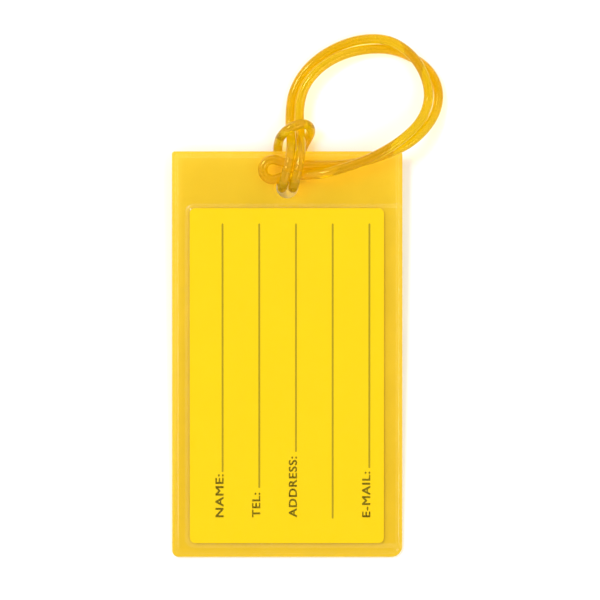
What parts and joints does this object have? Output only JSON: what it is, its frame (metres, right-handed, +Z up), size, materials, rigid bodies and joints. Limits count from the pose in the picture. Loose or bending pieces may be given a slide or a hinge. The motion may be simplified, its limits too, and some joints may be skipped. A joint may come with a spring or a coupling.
{
  "type": "luggage tag",
  "caption": "Soft yellow plastic luggage tag lying flat: welded sheets form a side-opening pocket for a slide-in address card, with a cord loop hitched through a hole in the header.",
  "frame": {"origin": "on the table, under the middle of the welded sheets as they lie, leaning on the two cord runs behind the header", "axes": "+X towards the pocket's open side, +Y towards the header and the cord loop, +Z up, out of the front sheet"},
  "size_m": [0.0735, 0.1418, 0.0103],
  "materials": {
    "back_pvc": "gloss",
    "front_pvc": "gloss",
    "card_paper": "matt",
    "cord_pvc": "gloss",
    "pin_nylon": "satin"
  },
  "bodies": {
    "sleeve": {"back_sheet": "back_pvc", "front_sheet": "front_pvc"},
    "card": {"insert_card": "card_paper"},
    "loop": {"loop_cord": "cord_pvc", "loop_pin": "pin_nylon"}
  },
  "joints": [
    {"name": "card_slide", "type": "slide", "parent": "sleeve", "child": "card", "axis": [1, 0, 0], "range_m": [0, 0.0576]},
    {"name": "loop_sway", "type": "hinge", "parent": "sleeve", "child": "loop", "pos_m": [0, 0.04529, 0.00333], "axis": [0, -0.0332, 0.9994], "range_deg": [-12, 12]}
  ]
}
